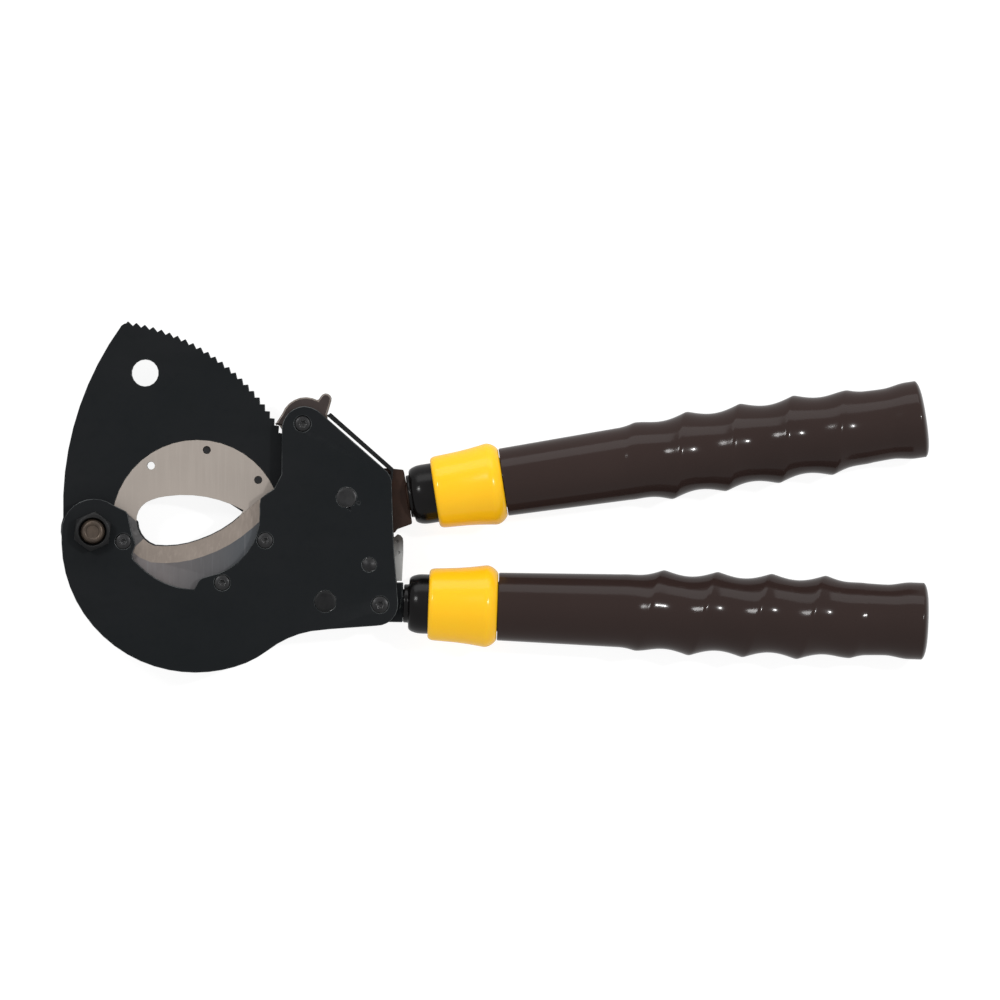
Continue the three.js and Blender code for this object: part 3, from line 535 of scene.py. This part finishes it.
def nut(node, centre, flats, turn, bore, low, high, sink):
    """A nut: its outside, and a bore that is countersunk at both ends."""
    place = upright(*centre)
    outside = hexagon_rings(place, flats, turn, low, high)
    upper_sink = [(bore + sink + 0.15, high), (bore + sink, high - 0.15), (bore, high - 2 * sink)]
    lower_sink = [(bore, low + 0.7), (bore + 0.7, low)]
    rings = outside + circles(place, upper_sink + lower_sink)
    stand_for(skin("fine_" + node, rings), node)


def pivot_bolt():
    """A hexagon head under the rear washer, and a shank whose end has a rim and a shallow dish."""
    place = upright(*BLADE_PIVOT)
    foot = -CREST_RADIUS
    seat = -PLATE_OUTER - 1.8
    head = hexagon_rings(place, PIVOT_FLATS, 41, foot, seat)
    shank = [(6, seat), (6, 17), (5.9, 17.3), (5.1, 18.4)]
    rim = [(4.85, 18.6), (4.5, 18.7), (3.7, 18.7)]
    dish = [(3.35, 18.5), (3, 18)]
    rings = head + circles(place, shank + rim + dish)
    stand_for(skin("fine_pivot_bolt", rings, closed=False), "pivot_bolt")


def star_radius(angle, radius):
    """The outline of a six-lobed driver recess."""
    return radius * (0.87 + 0.13 * math.cos(6 * angle))


def screw(node, centre, shank, head, foot, seat, top, recess):
    """A screw with a chamfered head and a six-lobed recess. Its sizes are radii and heights."""
    place = upright(*centre)
    bottom = top - RECESS_DEPTH
    shank_side = [(0.4, foot), (shank - 0.4, foot), (shank, foot + 0.4), (shank, seat)]
    head_side = [(head - 0.1, seat), (head, seat + 0.15), (head, top - 0.5)]
    head_rim = [(head - 0.12, top - 0.2), (head - 0.45, top)]
    rings = circles(place, shank_side + head_side + head_rim)
    recess_edge = [(recess + 0.12, top), (recess, top - 0.15)]
    recess_floor = [(recess * 0.96, bottom), (recess * 0.4, bottom - 0.3)]
    for radius, height in recess_edge + recess_floor:
        rings.append([place(star_radius(angle, radius), angle, height) for angle in ANGLES])
    stand_for(skin("fine_" + node, rings, closed=False), node)


def pin(node, centre, radius, low, high, chamfer, dome=0):
    """A plain pin whose upper end is chamfered and may be domed."""
    foot = [(0.3, low), (radius - 0.3, low), (radius, low + 0.3)]
    rim = [
        (radius, high - chamfer),
        (radius - 0.25 * chamfer, high - 0.35 * chamfer),
        (radius - chamfer, high),
    ]
    shares = (0.75, 0.5, 0.25, 0.06)
    crown = [((radius - chamfer) * share, high + dome * (1 - share ** 2)) for share in shares]
    profile = foot + rim + crown
    stand_for(turned("fine_" + node, profile, upright(*centre)), node)


def fasteners():
    pivot_bolt()
    seat = PLATE_OUTER + 0.1
    nut("pivot_nut", BLADE_PIVOT, flats=PIVOT_FLATS, turn=53, bore=6.15, low=seat, high=18, sink=0.9)
    nut("frame_nut", FRAME_SCREW, flats=10, turn=30, bore=3.15, low=-16.4, high=-seat, sink=0.4)
    for i, centre in enumerate(FIXED_BLADE_SCREWS, start=1):
        node = f"fixed_blade_screw_{i}"
        screw(node, centre, shank=2, head=3.75, foot=2.6, seat=8.2, top=11.6, recess=1.75)
    screw(
        "release_pawl_screw", RELEASE_PIVOT,
        shank=2.9, head=3.9, foot=-11.4, seat=8.2, top=10.8, recess=2)
    screw("frame_screw", FRAME_SCREW, shank=3, head=4.1, foot=-17, seat=8.6, top=11.6, recess=2)
    pin("handle_pivot_pin", HANDLE_PIVOT, radius=4.98, low=-11.5, high=11.65, chamfer=0.45)
    pin("latch_pin", LATCH_PIVOT, radius=3.53, low=-11.4, high=11.6, chamfer=0.7, dome=0.6)
    pin("frame_rivet", FRAME_RIVET, radius=5.33, low=-11.4, high=11.45, chamfer=0.35)


# --- Handles -------------------------------------------------------------------------------------


def along_handle(handle, turn=0):
    """Puts (radius, angle, distance) round a handle's axis into the row frame.

    Angle 0 points across the handle in the plane of the head, and 90 degrees points up.
    """
    slope = math.radians(handle["slope"])
    start = Vector(handle["origin"])
    forward = Vector((math.cos(slope), math.sin(slope)))
    across = Vector((-math.sin(slope), math.cos(slope)))

    def point(radius, angle, distance):
        angle += math.radians(turn)
        xy = start + forward * distance + across * radius * math.cos(angle)
        return at(xy.x, xy.y, radius * math.sin(angle))
    return point


def ease(value, start, end):
    """A smooth step from 0 to 1 between start and end."""
    t = min(1, max(0, (value - start) / (end - start)))
    return t * t * (3 - 2 * t)


def groove_radius(along):
    """The grip's radius in its grooves: a slight taper, a waist and a flared end."""
    if along < RIDGE_START:
        taper = GROOVE_RADIUS - GRIP_START_RADIUS
        return GRIP_START_RADIUS + taper * (along - GRIP_START) / (RIDGE_START - GRIP_START)
    return GROOVE_RADIUS - 0.55 * ease(along, WAIST_START, WAIST) + 1.5 * ease(along, WAIST, FLARE_END)


def ridge_height(along):
    """The ridge rises from the plain part of the grip and fades out before its flared end."""
    rise = ease(along, RIDGE_START, RIDGE_START + RIDGE_RISE)
    fall = 1 - ease(along, RIDGE_END - RIDGE_FALL, RIDGE_END)
    return (CREST_RADIUS - GROOVE_RADIUS) * math.sqrt(rise * fall)


def grip_radius(along, angle):
    """The ridge winds round the grip once in each pitch. Its crest is softened a little."""
    turns = (along - RIDGE_TOP) / RIDGE_PITCH + angle / (2 * math.pi)
    hollow = math.sqrt(math.sin(math.pi * turns) ** 2 + 0.004) - 0.03
    return groove_radius(along) + ridge_height(along) * min(1, 1.0 - hollow)


def grip(prefix, handle):
    place = along_handle(handle, handle["grip_turn"])
    end = handle["grip_end"]
    bore = [(GRIP_BORE, GRIP_BORE_END), (GRIP_BORE, GRIP_START + 0.4), (GRIP_BORE + 0.4, GRIP_START)]
    mouth = [(16.6, GRIP_START), (16.9, GRIP_START + 0.15)]
    rings = circles(place, bore + mouth)
    length = end - 2.8 - GRIP_START
    count = round(length / (RIDGE_PITCH / RINGS_PER_PITCH))
    for i in range(1, count + 1):
        along = GRIP_START + length * i / count
        rings.append([place(grip_radius(along, angle), angle, along) for angle in ANGLES])
    corner = [(19.15, 2.6), (18.85, 2.25), (18.3, 1.85), (17.4, 1.4), (16.2, 1), (14.5, 0.6)]
    crown = [(12.5, 0.3), (10, 0.1), (4, 0)]
    rings += circles(place, [(radius, end - inset) for radius, inset in corner + crown])
    node = prefix + "_grip"
    stand_for(skin("fine_" + node, rings, closed=False), node)


def collar(prefix, handle):
    front = [(15.3, 14), (15.3, 11.9), (16.3, 11.9), (17.3, 12.4), (17.9, 13.6), (18.12, 15.4)]
    flare = [(18.35, 20), (18.7, 26), (19.3, 32), (20, 37), (20.4, 39.6), (20.5, 40.6)]
    back = [(20.35, 41.7), (19.8, 43.2), (18.6, 44.9), (17.3, 46), (16.4, 46.4)]
    bore = [(COLLAR_BORE, 46.4), (COLLAR_BORE, 18.2), (15.3, 18.2)]
    profile = rounded([*front, *flare, *back, *bore, front[0]], 1.1)[:-1]
    node = prefix + "_collar"
    stand_for(turned("fine_" + node, profile, along_handle(handle), closed=True), node)


def neck(prefix, handle):
    nose, radius, start = handle["nose_start"], handle["nose_radius"], handle["shoulder"]
    front = [(NECK_BORE, nose), (radius, nose), (radius, start)]
    curve = [(12.2, 0), (13.1, 0.5), (13.7, 1.3), (14.3, 2.7), (14.75, 4.5), (14.9, 6.5)]
    shoulder = [(radius, start + along) for radius, along in curve]
    sleeve = [(14.9, 17.6), (10.2, 17.6), (10.2, 40), (NECK_BORE, 40)]
    profile = rounded([*front, *shoulder, *sleeve, front[0]], 0.8)[:-1]
    node = prefix + "_neck"
    stand_for(turned("fine_" + node, profile, along_handle(handle), closed=True), node)


def handles():
    for prefix, handle in HANDLES.items():
        grip(prefix, handle)
        collar(prefix, handle)
        neck(prefix, handle)


# --- Plates, blades and levers -------------------------------------------------------------------


def paint_bevel(piece):
    """Gives the fixed blade's slanted face a painted lit steel, and a painted shade next to the pivot where the
    face points towards +X.
    """
    materials = piece.data.materials
    materials.append(MATERIALS["bevel_steel_painted_lit"])
    materials.append(MATERIALS["shaded_steel"])
    for face in piece.data.polygons:
        slanted = 0.15 < face.normal.z < 0.99
        if slanted:
            # Slanted faces that point towards +X get the painted shade
            in_painted_shade = face.normal.x >= 0.25
            face.material_index = 2 if in_painted_shade else 1


def repaint(piece, name):
    """Gives every face another material, and leaves the bevel's material as it is."""
    materials = piece.data.materials
    materials.append(MATERIALS[name])
    for face in piece.data.polygons:
        face.material_index = len(materials) - 1


# Bevel widths of the flat pieces
# The pale-edged pieces get a painted highlight on their edge bevels
PALE_EDGED = {"front_plate": 0.32, "rear_plate": 0.32, "fixed_handle_bar": 0.5, "moving_blade": 0.18}
PLAIN_EDGED = {"blade_insert": 0.15, "handle_latch": 0.25, "release_spring": 0.25, "drive_pawl": 0.3}
SMALL_PIECES = (
    "pivot_bolt_washer", "front_thrust_washer", "rear_thrust_washer", "blade_bush", "lever_washer",
    "release_washer", "insert_screw_1", "insert_screw_2", "latch_stud", "drive_pawl_pin", "spring_pin",
    "drive_pawl_spring", "fixed_tube", "moving_tube",
)


def flat_pieces():
    for node, bevel in PALE_EDGED.items():
        refine(node, bevel, edge="plate_edge_highlight")
    refine("moving_handle_lever", 0.4)
    # The release pawl's bevel gets a painted highlight
    repaint(refine("release_pawl", 0.8, segments=3, edge="pawl_edge_highlight"), "pawl_steel")
    for node, bevel in PLAIN_EDGED.items():
        refine(node, bevel)
    paint_bevel(refine("fixed_blade", 0.15))
    for node in SMALL_PIECES:
        refine(node, 0.1)


# --- Floor, light and camera ---------------------------------------------------------------------


def floor():
    """A plain pale floor that glows a little, and that glossy faces don't mirror."""
    bpy.ops.mesh.primitive_plane_add(size=FLOOR_SIZE, location=(0, 0, cad_box[0][2]))
    plane = bpy.context.object
    plane.name = "floor"
    recipe = Recipe(
        "floor", (0.22, 0.22, 0.22), 0.9, Emission_Color=(1, 1, 1, 1), Emission_Strength=FLOOR_GLOW)
    recipe.bump(recipe.noise(300), 0.01)
    plane.data.materials.append(recipe.material)
    plane.visible_glossy = False


def area_light(name, offset, size, power):
    """A rectangular light that faces the middle of the view."""
    data = bpy.data.lights.new(name, "AREA")
    data.shape = "RECTANGLE"
    data.size, data.size_y = size
    data.energy = power
    light = bpy.data.objects.new(name, data)
    middle = at(*VIEW_CENTRE)
    light.location = middle + Vector(offset)
    light.rotation_euler = (middle - light.location).to_track_quat("-Z", "Y").to_euler()
    bpy.context.scene.collection.objects.link(light)


def lights():
    for name, light in LIGHTS.items():
        area_light(name, **light)
    world = bpy.data.worlds.new("studio")
    world.use_nodes = True
    background = world.node_tree.nodes["Background"]
    background.inputs["Color"].default_value = (1, 1, 1, 1)
    background.inputs["Strength"].default_value = SKY_STRENGTH
    bpy.context.scene.world = world
    bpy.context.scene.view_settings.view_transform = "Standard"


def camera():
    data = bpy.data.cameras.new("camera")
    data.sensor_width = SENSOR_WIDTH
    data.lens = SENSOR_WIDTH * CAMERA_DISTANCE / VIEW_WIDTH
    eye = bpy.data.objects.new("camera", data)
    eye.location = at(*VIEW_CENTRE, VIEW_PLANE + CAMERA_DISTANCE)
    bpy.context.scene.collection.objects.link(eye)
    bpy.context.scene.camera = eye


flat_pieces()
fasteners()
handles()
floor()
lights()
camera()
